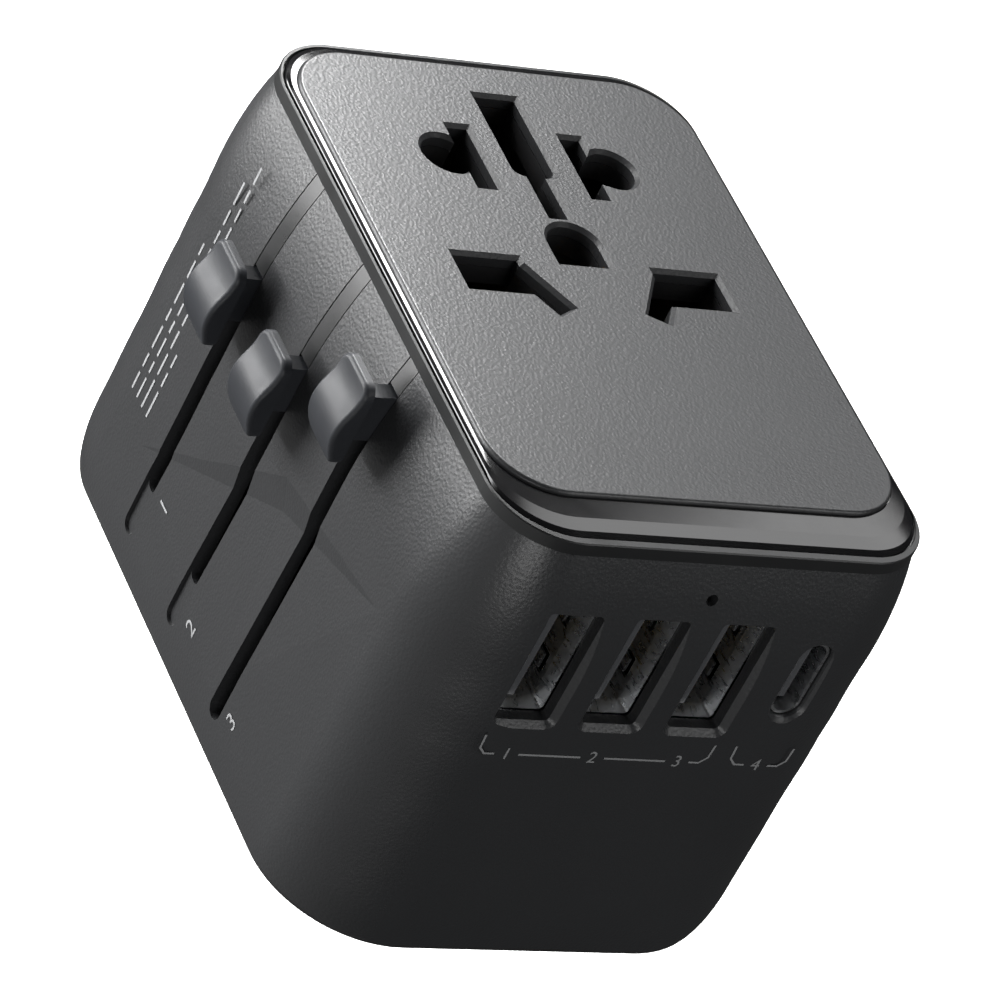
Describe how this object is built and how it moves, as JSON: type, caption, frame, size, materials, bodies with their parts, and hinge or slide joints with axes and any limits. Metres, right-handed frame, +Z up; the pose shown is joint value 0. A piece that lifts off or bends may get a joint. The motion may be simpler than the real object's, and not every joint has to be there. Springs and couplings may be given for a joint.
{
  "type": "universal travel adapter",
  "caption": "Block-shaped travel plug adapter: universal socket on top, sliding knobs that push out blade, rectangular or round pins, and USB ports on one end.",
  "frame": {"origin": "middle of the casing's underside", "axes": "+Z up to the socket face, -X the side with the slide knobs, -Y the end with the USB ports"},
  "size_m": [0.055, 0.0732, 0.051],
  "materials": {
    "shell_plastic": "fine leather-like moulded grain",
    "base_plastic": "fine moulded grain",
    "frame_plastic": "satin, smooth",
    "bezel_plastic": "polished black",
    "knob_plastic": "satin, smooth",
    "carriage_plastic": "moulded, semi-matt",
    "insulator_plastic": "moulded, semi-matt",
    "pin_sleeve": "smooth black sleeve",
    "pin_metal": "bright nickel plating",
    "contact_brass": "pressed strip",
    "port_steel": "nickel plated sheet",
    "port_tongue": "moulded",
    "port_contact": "gold flashed",
    "screw_steel": "zinc plated",
    "board_laminate": "green solder mask",
    "ferrite": "sintered dark grey",
    "winding_tape": "yellow tape",
    "capacitor_sleeve": "dark printed sleeve",
    "chip_epoxy": "moulded epoxy",
    "clear_rod": "clear",
    "ceramic": "glazed ceramic"
  },
  "bodies": {
    "casing": {"main_shell": "shell_plastic", "socket_plate": "shell_plastic", "base_plate": "base_plastic", "top_frame": "frame_plastic", "gloss_bezel": "bezel_plastic", "socket_body": "insulator_plastic", "board_divider": "insulator_plastic", "fuse_holder": "insulator_plastic", "live_contact": "contact_brass", "neutral_contact": "contact_brass", "earth_contact": "contact_brass", "live_bar": "contact_brass", "neutral_bar": "contact_brass", "earth_bar": "contact_brass", "usb_a_shell_1": "port_steel", "usb_a_shell_2": "port_steel", "usb_a_shell_3": "port_steel", "usb_c_shell": "port_steel", "usb_a_tongue_1": "port_tongue", "usb_a_tongue_2": "port_tongue", "usb_a_tongue_3": "port_tongue", "usb_c_tongue": "port_tongue", "usb_a_contacts_1": "port_contact", "usb_a_contacts_2": "port_contact", "usb_a_contacts_3": "port_contact", "case_screws": "screw_steel", "fuse_clips": "screw_steel", "fuse_caps": "screw_steel", "charger_board": "board_laminate", "transformer_core": "ferrite", "transformer_winding": "winding_tape", "capacitors": "capacitor_sleeve", "board_chips": "chip_epoxy", "light_pipe": "clear_rod", "fuse_tube": "ceramic"},
    "us_slider": {"us_carriage": "carriage_plastic", "us_knob": "knob_plastic"},
    "us_blade_left": {"us_blade_left": "pin_metal"},
    "us_blade_right": {"us_blade_right": "pin_metal"},
    "uk_slider": {"uk_carriage": "carriage_plastic", "uk_knob": "knob_plastic", "uk_pole_pins": "pin_metal", "uk_pin_sleeves": "pin_sleeve", "uk_earth_pin": "pin_metal"},
    "eu_slider": {"eu_carriage": "carriage_plastic", "eu_knob": "knob_plastic", "eu_pin_left": "pin_metal", "eu_pin_right": "pin_metal"}
  },
  "joints": [
    {"name": "us_slide", "type": "slide", "parent": "casing", "child": "us_slider", "axis": [0, 0, -1], "range_m": [0, 0.0218]},
    {"name": "uk_slide", "type": "slide", "parent": "casing", "child": "uk_slider", "axis": [0, 0, -1], "range_m": [0, 0.0218]},
    {"name": "eu_slide", "type": "slide", "parent": "casing", "child": "eu_slider", "axis": [0, 0, -1], "range_m": [0, 0.0339]},
    {"name": "blade_turn_left", "type": "hinge", "parent": "us_slider", "child": "us_blade_left", "pos_m": [-0.00635, 0.0152, 0.0278], "axis": [0, 0, 1], "range_deg": [0, 30]},
    {"name": "blade_turn_right", "type": "hinge", "parent": "us_slider", "child": "us_blade_right", "pos_m": [0.00635, 0.0152, 0.0278], "axis": [0, 0, -1], "range_deg": [0, 30]}
  ]
}
